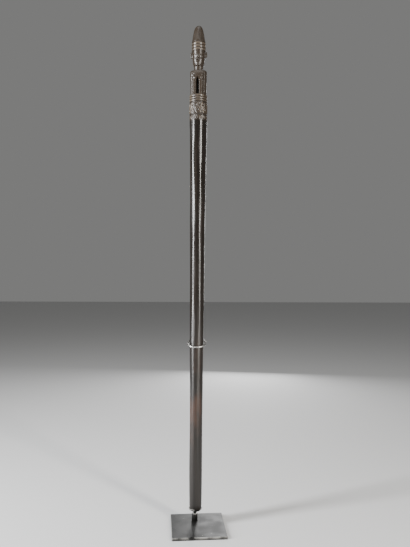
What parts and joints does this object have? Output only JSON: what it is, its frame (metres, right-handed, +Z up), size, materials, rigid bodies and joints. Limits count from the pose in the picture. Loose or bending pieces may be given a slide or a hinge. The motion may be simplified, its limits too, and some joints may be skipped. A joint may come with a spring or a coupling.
{
  "type": "ceremonial baton on display stand",
  "caption": "Tall carved wooden ceremonial baton with a figure finial, standing upright in a small metal display stand.",
  "frame": {"origin": "middle of the base plate's underside", "axes": "+Z up along the baton, -Y the front of the stand, +X to the right seen from the front"},
  "size_m": [0.11, 0.11, 1.033],
  "materials": {
    "dark_wood": "glossy dark patina",
    "black_metal": "black satin",
    "bare_metal": "bare satin"
  },
  "bodies": {
    "root": {"baton": "dark_wood", "base_plate": "black_metal", "rod_socket": "black_metal", "upright_rod": "black_metal", "foot_cup": "black_metal", "holding_ring": "bare_metal"}
  },
  "joints": []
}
